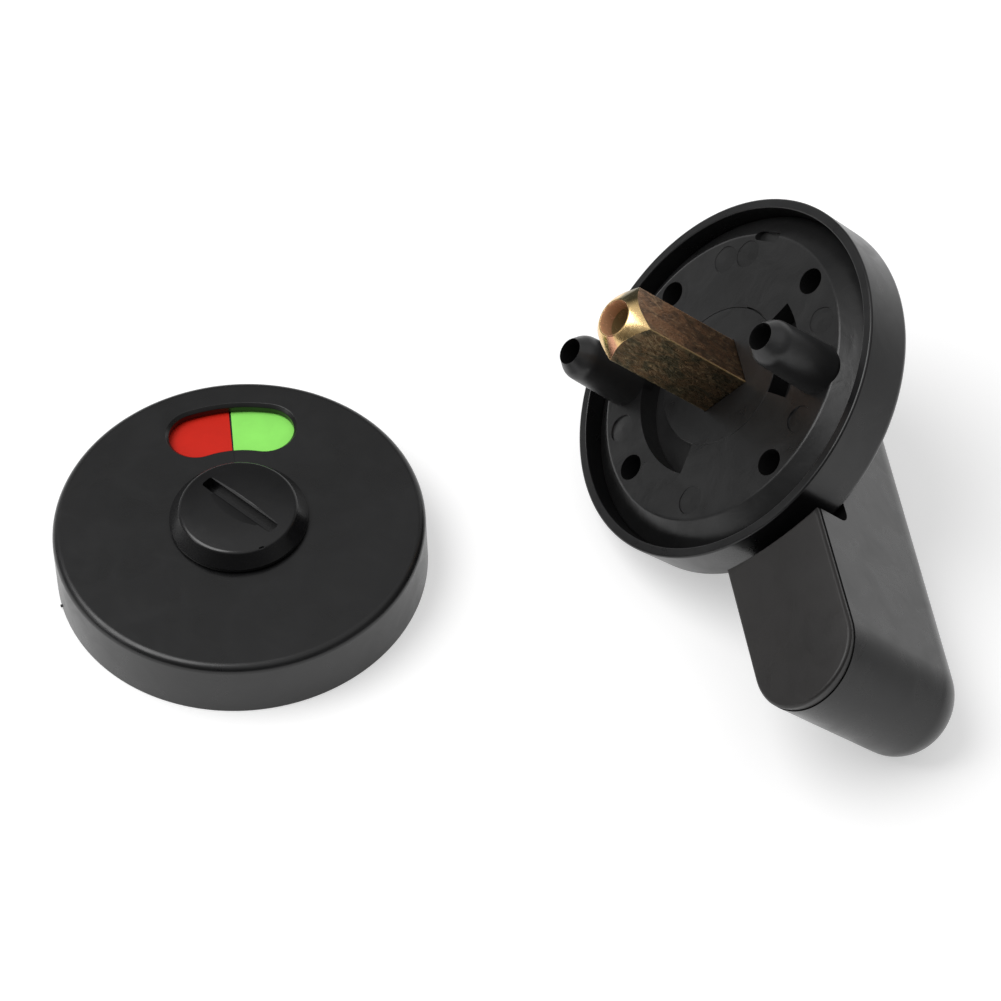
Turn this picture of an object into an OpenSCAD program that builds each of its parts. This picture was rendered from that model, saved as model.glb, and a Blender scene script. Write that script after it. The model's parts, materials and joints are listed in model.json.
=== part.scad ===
// Cubicle indicator bolt, moulded nylon, in two halves that lie apart on a flat floor
// Outer half: indicator with coin release knob, centred on the origin, face up
// Inner half: thumb turn with square spindle, lying beside it on its handle and the back edge of its rose
// Millimetres, Z up, floor at z = 0

/* [Outer half] */

// diameter of the indicator cover at the door
cover_d = 55; // [45:0.5:75]
// height of the indicator cover
cover_h = 9.75; // [9:0.25:15]
// draft of both cup walls, degrees
wall_draft = 1.25; // [0:0.05:4]
// radius of the rounded cup edges
edge_r = 1.25; // [0.5:0.05:2]
// thickness of both cup walls, also the width of the rim that meets the door
cup_wall = 1.5; // [1.2:0.1:2.4]
// thickness of the cup faces
cup_face = 1.4; // [1.2:0.1:2.2]
// turn of the outer half about its axis as it lies, degrees
outer_spin = 7.5; // [-180:0.5:180]
// radius from the axis to the middle of the indicator window
window_mid_r = 18.1; // [17.4:0.05:18.4]
// radial width of the indicator window
window_w = 8.5; // [5:0.1:8.8]
// angle between the round ends of the window, degrees
window_span = 33; // [10:0.5:40]
// chamfer along the edge of the window
window_edge = 0.5; // [0.1:0.05:1]
// diameter of the release knob at the top
knob_top_d = 17.8; // [16:0.1:18.6]
// diameter of the release knob at its foot
knob_foot_d = 20.3; // [19.5:0.1:22]
// height of the release knob above the cover face
knob_rise = 3.35; // [2.5:0.05:5]
// diameter of the knob shaft
knob_shaft_d = 14; // [13:0.1:14.6]
// width of the coin slot
slot_w = 1.8; // [1.4:0.1:2.6]
// length of the coin slot
slot_len = 13.7; // [9:0.1:14.4]
// depth of the coin slot
slot_deep = 2.2; // [0.8:0.05:2.6]
// chamfer along the coin slot
slot_edge = 0.3; // [0.1:0.05:0.5]
// angle of the coin slot in the outer half, degrees
slot_ang = -48; // [-180:0.1:180]
// distance of the coin slot from the middle of the knob
slot_off = 0.4; // [0:0.05:1.2]
// thickness of the indicator dial
dial_t = 1.2; // [1:0.1:1.6]
// thickness of each colour inlay
inlay_t = 0.3; // [0.2:0.05:0.5]
// angle covered by each colour inlay, degrees
inlay_span = 100; // [85:1:120]

/* [Inner half] */

// diameter of the rose at the door
rose_d = 56; // [55:0.5:66]
// height of the rose
rose_h = 8.8; // [8.6:0.1:12]
// diameter of the flat face of the base plate
plate_d = 44.4; // [43.6:0.1:47]
// thickness of the base plate
plate_t = 3.2; // [2.6:0.1:3.3]
// distance between the two fixing pillars
pillar_gap = 38; // [37.6:0.1:38.4]
// diameter of each pillar at its foot
pillar_d = 7.6; // [6.8:0.1:8]
// diameter of each pillar below its conical tip
pillar_tip_d = 6.9; // [6.4:0.1:7.6]
// height of the pillars above the door face
pillar_h = 12.5; // [11.5:0.1:18]
// length of the conical tip of the pillars
pillar_cone = 2; // [0.8:0.1:3]
// bore of the pillars for the fixing screws
pillar_bore_d = 3.7; // [3:0.1:4.2]
// circle of the four screw holes in the base plate
hole_pcd = 39; // [38:0.1:40]
// diameter of the four screw holes
hole_d = 4; // [3:0.1:4.6]
// diameter of the drive hub seen in the base plate
hub_d = 20.8; // [20:0.1:21]
// outer diameter of the arc slot that the stop lug runs in
arc_d = 30.8; // [30:0.1:31.4]
// outer diameter of the plain arc slot opposite it
arc2_d = 29.6; // [27:0.1:31]
// turning travel of the handle, degrees
travel = 90; // [60:1:95]
// angle of the handle from the pillar line, degrees
handle_ang = -57.4; // [-70:0.2:-45]
// width across the flats of the square spindle
spindle_w = 8; // [7:0.1:8.2]
// reach of the spindle past the door face
spindle_out = 22.6; // [18:0.1:60]
// length of the turned point of the spindle
spindle_point = 2.3; // [1:0.1:3]
// tapping size of the screw hole in the spindle end
spindle_tap_d = 5; // [3.3:0.1:5.2]
// width of the handle
handle_w = 17.2; // [16.8:0.1:20]
// distance from the axis to the middle of the round nose end
handle_reach = 49; // [44:0.5:70]
// depth of the handle at the axis, from the door face
handle_depth = 30.6; // [28:0.1:31]
// slope of the handle back, degrees
handle_slope = 1.7; // [0:0.1:4]
// draft of the handle sides, degrees
handle_draft = 0.75; // [0:0.05:1.5]
// radius of the rounded handle edges on the room side
handle_edge_r = 6.2; // [2:0.1:7]
// how far the nose stays clear of the door face
nose_back = 1.1; // [0.5:0.1:3]
// clearance between the nose and the rose
nose_gap = 2.3; // [1.5:0.1:4]
// radius in the corner between the nose and the bar
nose_fillet = 1.9; // [0.5:0.1:2.2]

/* [Lie of the inner half] */

// place of the middle of the rose on the floor plan, x
inner_x = 69.8; // [66:0.05:120]
// place of the middle of the rose on the floor plan, y
inner_y = 14.9; // [-20:0.05:60]
// height of the middle of the rose above the floor
inner_z = 25.62; // [25:0.01:60]
// turns of the inner half about x, y and z, degrees
inner_turn = [31.11, -35.71, -33.89]; // [-180:0.01:180]

/* [Fits] */

// gap between pieces that turn and pieces that stay
run_gap = 0.35; // [0.3:0.05:0.6]
// radial clearance of a shaft in its bearing
bear_gap = 0.06; // [0.02:0.01:0.1]
// clearance of pieces pushed together
push_gap = 0.05; // [0.02:0.01:0.1]
// clearance of the square spindle in its sockets
square_gap = 0.1; // [0.05:0.01:0.2]

/* [Hidden] */

$fn = 96;

// overlap that keeps cuts clean, and the hair by which an arc stays inside its round ends so that they cross
cut = 1;
hair = 0.02;

// outer half, levels from the floor up
cover_r = cover_d / 2;
cover_bore_r = cover_r - cup_wall;
face_z = cover_h - cup_face;
knob_foot_r = knob_foot_d / 2;
knob_foot_z = cover_h + run_gap;
knob_top_z = cover_h + knob_rise;
knob_round = 0.8;
knob_land = 0.5;
shaft_r = knob_shaft_d / 2;
shaft_end_z = 0.6;
dial_top_z = face_z - run_gap;
dial_z = dial_top_z - dial_t;
dial_over = 0.8;
dial_r = window_mid_r + window_w / 2 + dial_over;
dial_step = 0.5;
dial_rim = 0.25;
inlay_gap = 0.4;
key_w = 2;
key_deep = 0.8;
ring_t = 0.8;
ring_w = 2.6;
ring_seat = 0.7;
spring_h = 0.45;
spring_w = 2.6;
spring_t = 0.2;
ring_top_z = dial_z - spring_h - 2 * push_gap;
outer_plate_t = 2.2;
boss_r = 4.2;
boss_h = ring_top_z - ring_t;
insert_r = 2.8;
insert_tap_r = 1.45;
insert_len = 4.4;
socket_w = spindle_w + 2 * square_gap;
socket_over = 0.3;
socket_top_z = face_z + socket_over;

// inner half, levels from the door face down
rose_r = rose_d / 2;
rose_bore_r = rose_r - cup_wall;
rose_floor_z = -rose_h + cup_face;
plate_r = plate_d / 2;
plate_drop = 3.3;
skirt_w = 1.5;
skirt_step = 1.2;
pillar_x = pillar_gap / 2;
pillar_lip = 0.2;
hole_r = hole_d / 2;
hub_r = hub_d / 2;
hub_bore_r = hub_r + run_gap;
arc_r = arc_d / 2;
arc2_r = arc2_d / 2;
lug_w = 26;
lug_mid = 153.4;
lug_drop = 0.6;
stop_gap = 1.6;
arc_start = lug_mid - lug_w / 2 - stop_gap;
arc_end = lug_mid + lug_w / 2 + travel + stop_gap;
arc2_start = -16;
arc2_end = 46;
flange_z = -plate_t - run_gap;
flange_t = 1.5;
flange_over = 1.4;
flange_r = arc_r + flange_over;
neck_r = 7.6;
neck_end_z = -rose_h - run_gap - push_gap;
bush_wall = 1.6;
bush_r = neck_r + bear_gap + bush_wall;
bush_sink = 0.2;
bush_lip = 1;
bush_lip_t = 0.5;
hub_spring_side = 0.4;
hub_spring_in = bush_r + bush_lip + hub_spring_side;
hub_spring_out = flange_r - hub_spring_side;
hub_spring_t = 0.4;
hub_spring_top = flange_z - flange_t - run_gap;
pin_r = 1;
pin_sink = 0.5;
pin_len = 2 * (neck_r - pin_sink);
pin_z = (flange_z - flange_t + neck_end_z) / 2;
mark_r = 2.2;
mark_w = 0.35;
mark_deep = 0.2;

// spindle and handle
spindle_in = 24;
spindle_end_z = -spindle_in;
point_wall = 0.45;
point_r = spindle_tap_d / 2 + point_wall;
thread_deep = 14;
handle_hw = handle_w / 2;
bar_play = 0.1;
bar_z = -rose_h - run_gap - bar_play;
nose_r = rose_r + nose_gap;
nose_wall = 2.2;
nose_floor = 2.4;
cap_t = 1.7;
cap_crown_r = 55;
cap_plug = 2.5;
core_cover = 1.4;
core_r = handle_hw - core_cover;
core_floor = 1;
core_end_z = spindle_end_z - core_floor;
grub_r = 2.5;
grub_z = -17;
grub_sink = 0.6;
hex_af = 2.5;
hex_deep = 2;
blank_over = 12;
blank_top = handle_depth + blank_over;
room_hw = handle_hw - (handle_depth - nose_back - handle_edge_r) * tan(handle_draft);
joint_z = -nose_back - cap_t;
nose_up = (handle_depth + joint_z) / cos(handle_slope) - handle_reach * tan(handle_slope);
nose_x = handle_reach * cos(handle_slope) - nose_up * sin(handle_slope);
nose_hw = room_hw + (nose_up - handle_edge_r) * tan(handle_draft);

// points along an arc, for turned and extruded profiles
function bend(cx, cy, r, a0, a1, n) = [for (i = [0:n]) [cx + r * cos(a0 + (a1 - a0) * i / n),
    cy + r * sin(a0 + (a1 - a0) * i / n)]];

module place_outer() {
    rotate([0, 0, outer_spin]) children();
}

module place_inner() {
    translate([inner_x, inner_y, inner_z]) rotate(inner_turn) children();
}

module place_handle() {
    place_inner() rotate([0, 0, handle_ang]) children();
}

// flat sector with its point on the axis
module wedge(r, a0, a1) {
    steps = ceil((a1 - a0) / 45);
    polygon(concat([[0, 0]], [for (i = [0:steps]) let (a = a0 + (a1 - a0) * i / steps)
        [r * cos(a), r * sin(a)]]));
}

// flat part of a ring between two angles
module ring_part(r0, r1, a0, a1) {
    intersection() {
        difference() {
            circle(r1);
            circle(r0);
        }
        wedge(2 * r1, a0, a1);
    }
}

// cup wall and face turned about Z, rim at z = 0 and face at z = h
module cup(r, h, hole) {
    lean = tan(wall_draft);
    top_r = r - lean * (h - edge_r);
    edge = bend(top_r - edge_r, h - edge_r, edge_r, 0, 90, 8);
    rotate_extrude() polygon(concat([[r - cup_wall, 0], [r, 0]], edge,
        [[hole, h], [hole, h - cup_face], [r - cup_wall, h - cup_face]]));
}

// flat conical spring ring, outer edge low
module cone_ring(r_in, r_out, z_low, z_high, t) {
    rotate_extrude() polygon([[r_out, z_low], [r_out, z_low + t], [r_in, z_high], [r_in, z_high - t]]);
}

// half section of a cut in the cover face, from the level low up, with a chamfered edge
module half_cut(half_w, low) {
    polygon([[0, low], [half_w, low], [half_w, cover_h - window_edge],
        [half_w + window_edge + cut, cover_h + cut], [0, cover_h + cut]]);
}

module indicator_cover() {
    color([0.12, 0.12, 0.13]) place_outer() difference() {
        cup(cover_r, cover_h, shaft_r + bear_gap);
        rotate([0, 0, 90 - window_span / 2]) rotate_extrude(angle = window_span)
            translate([window_mid_r, 0]) {
            half_cut(window_w / 2 - hair, face_z - cut);
            mirror([1, 0]) half_cut(window_w / 2 - hair, face_z - cut);
        }
        for (s = [-1, 1]) rotate([0, 0, 90 + s * window_span / 2]) translate([window_mid_r, 0, 0])
            rotate_extrude() half_cut(window_w / 2, face_z - cut);
    }
}

module outer_plate() {
    color([0.16, 0.16, 0.17]) place_outer() difference() {
        union() {
            cylinder(r = cover_bore_r - push_gap, h = outer_plate_t);
            for (s = [-1, 1]) translate([s * pillar_x, 0, 0]) cylinder(r = boss_r, h = boss_h);
        }
        translate([0, 0, -cut]) cylinder(r = shaft_r + bear_gap, h = outer_plate_t + 2 * cut);
        for (s = [-1, 1]) translate([s * pillar_x, 0, -cut]) cylinder(r = insert_r, h = insert_len + cut);
    }
}

module plate_inserts() {
    color([0.78, 0.62, 0.28]) place_outer() for (s = [-1, 1]) translate([s * pillar_x, 0, 0]) difference() {
        cylinder(r = insert_r - push_gap, h = insert_len - push_gap);
        translate([0, 0, -cut]) cylinder(r = insert_tap_r, h = insert_len + 2 * cut);
    }
}

module release_knob() {
    rim_r = knob_top_d / 2 - knob_round;
    flank = [knob_foot_r - rim_r, knob_foot_z + knob_land - knob_top_z + knob_round];
    lean = atan2(flank[1], flank[0]) + acos(knob_round / norm(flank));
    rim = bend(rim_r, knob_top_z - knob_round, knob_round, lean, 90, 5);
    color([0.1, 0.1, 0.11]) place_outer() difference() {
        rotate_extrude() polygon(concat([[0, shaft_end_z], [shaft_r, shaft_end_z],
            [shaft_r, ring_top_z - ring_t - push_gap], [shaft_r - ring_seat, ring_top_z - ring_t - push_gap],
            [shaft_r - ring_seat, ring_top_z + push_gap], [shaft_r, ring_top_z + push_gap],
            [shaft_r, knob_foot_z], [knob_foot_r, knob_foot_z], [knob_foot_r, knob_foot_z + knob_land]],
            rim, [[0, knob_top_z]]));
        translate([-socket_w / 2, -socket_w / 2, -cut]) cube([socket_w, socket_w, socket_top_z + cut]);
        rotate([0, 0, 90]) translate([shaft_r - key_deep - push_gap, -key_w / 2 - push_gap, -cut])
            cube([shaft_r, key_w + 2 * push_gap, dial_top_z + push_gap + cut]);
        rotate([0, 0, slot_ang]) translate([-slot_len / 2, slot_off, knob_top_z]) rotate([90, 0, 90])
            linear_extrude(slot_len) polygon([[-slot_w / 2, -slot_deep], [slot_w / 2, -slot_deep],
                [slot_w / 2, -slot_edge], [slot_w / 2 + slot_edge + cut, cut],
                [-slot_w / 2 - slot_edge - cut, cut], [-slot_w / 2, -slot_edge]]);
    }
}

module indicator_dial() {
    color([0.2, 0.2, 0.2]) place_outer() difference() {
        union() {
            translate([0, 0, dial_z]) difference() {
                cylinder(r = dial_r, h = dial_t);
                translate([0, 0, -cut]) cylinder(r = shaft_r + push_gap, h = dial_t + 2 * cut);
            }
            rotate([0, 0, 90]) translate([shaft_r - key_deep, -key_w / 2, dial_z])
                cube([key_deep + dial_step, key_w, dial_t]);
        }
        for (a = [90, 90 - inlay_span]) translate([0, 0, dial_top_z - inlay_t]) linear_extrude(inlay_t + cut)
            ring_part(window_mid_r - window_w / 2 - dial_step, dial_r - dial_rim, a, a + inlay_span);
    }
}

// colour inlay that starts at angle a0
module inlay(a0) {
    place_outer() translate([0, 0, dial_top_z - inlay_t]) linear_extrude(inlay_t)
        ring_part(window_mid_r - window_w / 2 - dial_step + push_gap, dial_r - dial_rim - push_gap,
            a0 + inlay_gap, a0 + inlay_span - inlay_gap);
}

module red_sector() {
    color([0.84, 0.13, 0.1]) inlay(90);
}

module green_sector() {
    color([0.5, 0.95, 0.35]) inlay(90 - inlay_span);
}

module dial_spring() {
    color([0.7, 0.7, 0.72]) place_outer() cone_ring(shaft_r + push_gap, shaft_r + spring_w,
        ring_top_z + push_gap, ring_top_z + push_gap + spring_h, spring_t);
}

module dial_ring() {
    color([0.6, 0.6, 0.62]) place_outer() translate([0, 0, ring_top_z - ring_t]) difference() {
        cylinder(r = shaft_r + ring_w - ring_seat, h = ring_t);
        translate([0, 0, -cut]) cylinder(r = shaft_r - ring_seat + push_gap, h = ring_t + 2 * cut);
        rotate([0, 0, -90]) translate([0, -key_w, -cut]) cube([2 * shaft_r, 2 * key_w, ring_t + 2 * cut]);
    }
}

module rose_cover() {
    color([0.12, 0.12, 0.13]) place_inner() rotate([180, 0, 0]) cup(rose_r, rose_h, bush_r + push_gap);
}

// one hollow pillar standing on the door face
module pillar() {
    rotate_extrude() polygon([[pillar_bore_d / 2, -plate_t / 2], [pillar_d / 2, -plate_t / 2],
        [pillar_d / 2, 0], [pillar_tip_d / 2, pillar_h - pillar_cone],
        [pillar_bore_d / 2 + pillar_lip, pillar_h], [pillar_bore_d / 2, pillar_h]]);
}

module base_plate() {
    edge_r = rose_bore_r - push_gap;
    floor_z = rose_floor_z + push_gap;
    color([0.13, 0.13, 0.14]) place_inner() difference() {
        union() {
            rotate_extrude() polygon([[hub_bore_r, -plate_t], [edge_r - skirt_w - skirt_step, -plate_t],
                [edge_r - skirt_w, -plate_t - skirt_step], [edge_r - skirt_w, floor_z], [edge_r, floor_z],
                [edge_r, -plate_drop], [plate_r, 0], [hub_bore_r, 0]]);
            for (s = [-1, 1]) translate([s * pillar_x, 0, 0]) pillar();
        }
        for (s = [-1, 1]) translate([s * pillar_x, 0, -plate_t - cut])
            cylinder(d = pillar_bore_d, h = pillar_h);
        for (a = [45:90:315]) rotate([0, 0, a]) translate([hole_pcd / 2, 0, -plate_t - cut])
            cylinder(r = hole_r, h = plate_t + 2 * cut);
        translate([0, 0, -plate_t - cut]) linear_extrude(plate_t + 2 * cut) {
            ring_part(hub_bore_r - cut, arc_r, arc_start, arc_end);
            ring_part(hub_bore_r - cut, arc2_r, arc2_start, arc2_end);
        }
        for (a = [23, 90, 157, 203, 270, 337]) rotate([0, 0, a])
            translate([hole_pcd / 2, 0, -mark_deep]) difference() {
            cylinder(r = mark_r, h = mark_deep + cut);
            translate([0, 0, -cut]) cylinder(r = mark_r - mark_w, h = mark_deep + 3 * cut);
        }
    }
}

module bearing_bush() {
    in_r = neck_r + bear_gap;
    color([0.85, 0.84, 0.78]) place_inner() rotate_extrude() polygon([
        [in_r, bush_sink - rose_h], [bush_r, bush_sink - rose_h],
        [bush_r, rose_floor_z + push_gap], [bush_r + bush_lip, rose_floor_z + push_gap],
        [bush_r + bush_lip, rose_floor_z + bush_lip_t], [in_r, rose_floor_z + bush_lip_t]]);
}

module hub_spring() {
    color([0.7, 0.7, 0.72]) place_inner() cone_ring(hub_spring_in, hub_spring_out, rose_floor_z + push_gap,
        hub_spring_top, hub_spring_t);
}

module drive_hub() {
    color([0.13, 0.13, 0.14]) place_inner() difference() {
        union() {
            rotate_extrude() polygon([[0, neck_end_z], [neck_r, neck_end_z], [neck_r, flange_z - flange_t],
                [flange_r, flange_z - flange_t], [flange_r, flange_z], [hub_r, flange_z],
                [hub_r, 0], [0, 0]]);
            translate([0, 0, flange_z - flange_t / 2]) linear_extrude(flange_t / 2 - flange_z - lug_drop)
                ring_part(hub_r - cut, arc_r - run_gap, lug_mid - lug_w / 2, lug_mid + lug_w / 2);
        }
        rotate([0, 0, handle_ang]) {
            translate([-socket_w / 2, -socket_w / 2, neck_end_z - cut])
                cube([socket_w, socket_w, 2 * cut - neck_end_z]);
            translate([0, 0, pin_z]) rotate([0, 90, 0])
                cylinder(r = pin_r, h = pin_len + 2 * cut, center = true);
        }
    }
}

module hub_pin() {
    color([0.72, 0.72, 0.74]) place_handle() translate([0, 0, pin_z]) rotate([0, 90, 0])
        cylinder(r = pin_r - push_gap / 2, h = pin_len, center = true);
}

module spindle() {
    sharp_r = spindle_w * sqrt(2) / 2 + cut;
    color([0.72, 0.58, 0.3]) place_handle() difference() {
        intersection() {
            translate([-spindle_w / 2, -spindle_w / 2, spindle_end_z])
                cube([spindle_w, spindle_w, spindle_in + spindle_out]);
            rotate_extrude() polygon([[0, spindle_end_z], [sharp_r, spindle_end_z],
                [sharp_r, spindle_out - spindle_point * (sharp_r - point_r) / (sharp_r - cut - point_r)],
                [point_r, spindle_out], [0, spindle_out]]);
        }
        translate([0, 0, spindle_out - thread_deep]) cylinder(d = spindle_tap_d, h = thread_deep + cut);
        translate([0, 0, pin_z]) rotate([0, 90, 0]) cylinder(r = pin_r, h = 2 * spindle_w, center = true);
    }
}

// half section of the handle bar, room side rounded, y up from the back
module half_bar() {
    polygon(concat([[0, 0]], bend(room_hw - handle_edge_r, handle_edge_r, handle_edge_r, -90, 0, 10),
        [[room_hw + (blank_top - handle_edge_r) * tan(handle_draft), blank_top], [0, blank_top]]));
}

// long bar with round ends, back on the slope
module bar_blank() {
    translate([0, 0, -handle_depth]) rotate([0, -handle_slope, 0]) {
        rotate([0, 0, 90]) rotate_extrude(angle = 180) half_bar();
        translate([handle_reach, 0, 0]) rotate([0, 0, -90]) rotate_extrude(angle = 180) half_bar();
        rotate([90, 0, 90]) linear_extrude(handle_reach) {
            half_bar();
            mirror([1, 0]) half_bar();
        }
    }
}

// plan of the nose where the cap meets it, drawn in by a margin on every side
module nose_plan(inset) {
    difference() {
        union() {
            translate([nose_x, 0]) circle(nose_hw - inset);
            translate([0, inset - nose_hw]) square([nose_x, 2 * (nose_hw - inset)]);
        }
        circle(nose_r + inset);
    }
}

module handle_shell() {
    hollow_z = handle_depth - handle_reach * tan(handle_slope) - nose_floor - handle_edge_r / 2;
    color([0.12, 0.12, 0.13]) place_handle() difference() {
        bar_blank();
        translate([-handle_depth, -handle_depth, joint_z])
            cube([handle_reach + 2 * handle_depth, 2 * handle_depth, 2 * handle_depth]);
        rotate_extrude() polygon(concat([[0, bar_z]],
            bend(nose_r - nose_fillet, bar_z + nose_fillet, nose_fillet, -90, 0, 6),
            [[nose_r, blank_top], [0, blank_top]]));
        translate([0, 0, -hollow_z]) linear_extrude(blank_top) nose_plan(nose_wall);
        translate([0, 0, core_end_z]) cylinder(r = core_r, h = blank_top);
        translate([0, 0, grub_z]) rotate([0, -90, 0]) cylinder(r = grub_r + 2 * push_gap, h = handle_w);
    }
}

module handle_core() {
    color([0.66, 0.66, 0.68]) place_handle() difference() {
        translate([0, 0, core_end_z + push_gap])
            cylinder(r = core_r - push_gap, h = bar_z - core_end_z - 2 * push_gap);
        translate([-socket_w / 2, -socket_w / 2, spindle_end_z - push_gap])
            cube([socket_w, socket_w, spindle_in]);
        translate([0, 0, grub_z]) rotate([0, -90, 0]) cylinder(r = grub_r, h = handle_w);
    }
}

module grub_screw() {
    tail = spindle_w / 2 + push_gap;
    len = handle_hw - tail - grub_sink;
    color([0.3, 0.3, 0.32]) place_handle() translate([-tail, 0, grub_z]) rotate([0, -90, 0]) difference() {
        cylinder(r = grub_r - push_gap, h = len);
        translate([0, 0, len - hex_deep]) cylinder(d = hex_af / cos(30), h = hex_deep + cut, $fn = 6);
    }
}

module nose_cap() {
    color([0.2, 0.18, 0.17]) place_handle() {
        intersection() {
            translate([0, 0, joint_z]) linear_extrude(cap_t) nose_plan(push_gap);
            translate([0, 0, -nose_back - cap_crown_r]) rotate([0, 90, 0])
                cylinder(r = cap_crown_r, h = 2 * handle_reach, $fn = 720);
        }
        translate([0, 0, joint_z - cap_plug]) linear_extrude(cap_plug + cap_t / 2)
            nose_plan(nose_wall + push_gap);
    }
}

indicator_cover();
outer_plate();
plate_inserts();
release_knob();
indicator_dial();
red_sector();
green_sector();
dial_spring();
dial_ring();
rose_cover();
base_plate();
bearing_bush();
hub_spring();
drive_hub();
hub_pin();
spindle();
handle_shell();
handle_core();
grub_screw();
nose_cap();
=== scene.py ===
import json
import math

import bmesh
import bpy
from mathutils import Matrix, Vector


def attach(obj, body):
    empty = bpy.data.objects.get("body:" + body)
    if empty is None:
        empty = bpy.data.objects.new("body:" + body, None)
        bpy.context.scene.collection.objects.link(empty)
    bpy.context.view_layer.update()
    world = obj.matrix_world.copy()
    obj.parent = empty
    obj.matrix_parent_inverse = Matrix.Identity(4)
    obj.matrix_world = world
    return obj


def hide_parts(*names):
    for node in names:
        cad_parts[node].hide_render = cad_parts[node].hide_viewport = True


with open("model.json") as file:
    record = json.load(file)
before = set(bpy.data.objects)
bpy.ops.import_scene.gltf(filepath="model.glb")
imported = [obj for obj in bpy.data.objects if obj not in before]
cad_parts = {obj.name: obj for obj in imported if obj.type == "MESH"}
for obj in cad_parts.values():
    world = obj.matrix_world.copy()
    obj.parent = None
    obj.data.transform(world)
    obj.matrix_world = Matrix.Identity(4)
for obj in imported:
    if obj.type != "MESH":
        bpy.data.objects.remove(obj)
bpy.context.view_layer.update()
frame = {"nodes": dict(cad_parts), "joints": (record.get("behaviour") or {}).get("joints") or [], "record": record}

# Two halves of a cubicle indicator bolt on a white table, built round the CAD frame
# Pieces are modelled in millimetres in the frame of their half and placed in metres

MM = 0.001
mounts = {m["name"]: m for m in frame["record"]["mounts"]}
joints = {j["name"]: j for j in frame["joints"]}


# Frames of the two halves, read from the mounts and joint axes
def half_frame(origin, left, right, axis):
    z = Vector(axis).normalized()
    x = Vector(mounts[right]["pos_m"]) - Vector(mounts[left]["pos_m"])
    x = (x - x.dot(z) * z).normalized()
    turned = Matrix((x, z.cross(x), z)).transposed().to_4x4()
    return Matrix.Translation(origin) @ turned @ Matrix.Scale(MM, 4)


# Turn of the handle about the spindle at rest, in degrees
HANDLE_ANG = -57.4
outer_half = half_frame((0, 0, 0), "insert_thread_left", "insert_thread_right", (0, 0, 1))
inner_half = half_frame(joints["handle_turn"]["pos_m"], "pillar_bore_left", "pillar_bore_right",
                        joints["handle_turn"]["axis"])
handle_half = inner_half @ Matrix.Rotation(math.radians(HANDLE_ANG), 4, "Z")

# Sizes shared by both cups
CUP_WALL = 1.5
CUP_FACE = 1.4
CUP_EDGE_R = 1.25
DRAFT = math.tan(math.radians(1.25))
RUN_GAP = 0.35

# Sizes of the outer half
COVER_R = 27.5
COVER_H = 9.75
WINDOW_MID_R = 18.1
WINDOW_HW = 4.25
WINDOW_SPAN = 33
WINDOW_EDGE = 0.5
KNOB_FOOT_R = 10.15
KNOB_LAND = 0.5
KNOB_TOP_R = 8.53
KNOB_ROUND = 0.82
KNOB_SHAFT_R = 7
KNOB_SHAFT_Z = 0.6
KNOB_TOP_Z = 13.1
KNOB_CROWN = 0.42
SLOT_LEN = 13.7
SLOT_W = 1.8
SLOT_DEEP = 2.2
SLOT_EDGE = 0.3
SLOT_ANG = -48
SLOT_OFF = 0.4
FADE_W = 2.2
FADE_DEEP = 0.13
SOCKET_W = 8.2
SOCKET_TOP = 8.65

# Flaws of the outer half: moulding flash at the cover's foot and a nick in the knob's rim
FLASH_ANG = -168.2
NICK_ANG = -70.3

# Sizes of the inner half
ROSE_R = 27.98
ROSE_H = 8.8
ROSE_HOLE_R = 9.31
PLATE_FACE_R = 22.2
PLATE_EDGE_R = 26.45
PLATE_DROP = 3.3
PLATE_T = 3.2
SKIRT_W = 1.5
PILLAR_X = 19
PILLAR_R = 3.8
PILLAR_TIP_R = 3.43
PILLAR_CONE = 2
PILLAR_LIP = 0.2
PILLAR_BORE_R = 1.85
PILLAR_H = 12.5
HOLE_PCR = 19.5
HOLE_R = 2
MARK_R = 2.2
MARK_DEEP = 0.3
MARK_TILT = 2.8
MOUTH_R = 2.0
HUB_R = 10.72
HUB_EDGE = 0.08
HUB_BORE_R = 10.75
LUG_R = 15.05
LUG_SPAN = (140.4, 166.4)
LUG_TOP = -0.6
FLANGE_R = 16.8
FLANGE_Z = -3.55
FLANGE_T = 1.5
NECK_R = 7.6
NECK_END = -9.2
SPINDLE_W = 8
SPINDLE_OUT = 22.6
SPINDLE_IN = 24
SPINDLE_POINT = 2.3
SPINDLE_CORNER = 0.2
POINT_R = 2.92
TAP_R = 2.5
TAP_FLARE = 0.2
TAP_MOUTH = 2.2
TAP_DEEP = 14

# Ejector marks on the inner plate: place round the plate, and the way each one's tilt faces
MARKS = ((23, 70), (90, 60), (103, 70), (157, 40), (203, 250), (270, 20), (337, 250))

# Wear of the inner plate: a scuff at its edge and a stretch of the hub's bore that is worn wider
SCUFF_ANG = 81.5
RUB_W = 0.16
RUB_SPAN = (58, 77)

# Slots beside the hub: outer radius, first and last angle
ARCS = ((15.4, 138.8, 258), (14.8, -16, 46))

# Sizes of the handle, whose blank leans by the slope of its back
HANDLE_HW = 8.6
HANDLE_REACH = 49
HANDLE_DEPTH = 30.6
HANDLE_SLOPE = math.radians(1.7)
HANDLE_DRAFT = math.tan(math.radians(0.75))
HANDLE_EDGE_R = 6.2
BAR_Z = -ROSE_H - RUN_GAP - 0.1
NOSE_BACK = 1.1
NOSE_R = 30.3
NOSE_FILLET = 1.9
NOSE_WALL = 2.2
NOSE_FLOOR = -22
CORE_R = 7.2
GRUB_R = 2.6
GRUB_Z = -17
CAP_T = 1.7
CAP_PLUG = 2.5
CAP_CROWN_R = 55
CAP_ROUND = 0.45
PUSH_GAP = 0.05
ROOM_HW = HANDLE_HW - (HANDLE_DEPTH - NOSE_BACK - HANDLE_EDGE_R) * HANDLE_DRAFT
JOINT_Z = -NOSE_BACK - CAP_T
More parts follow.
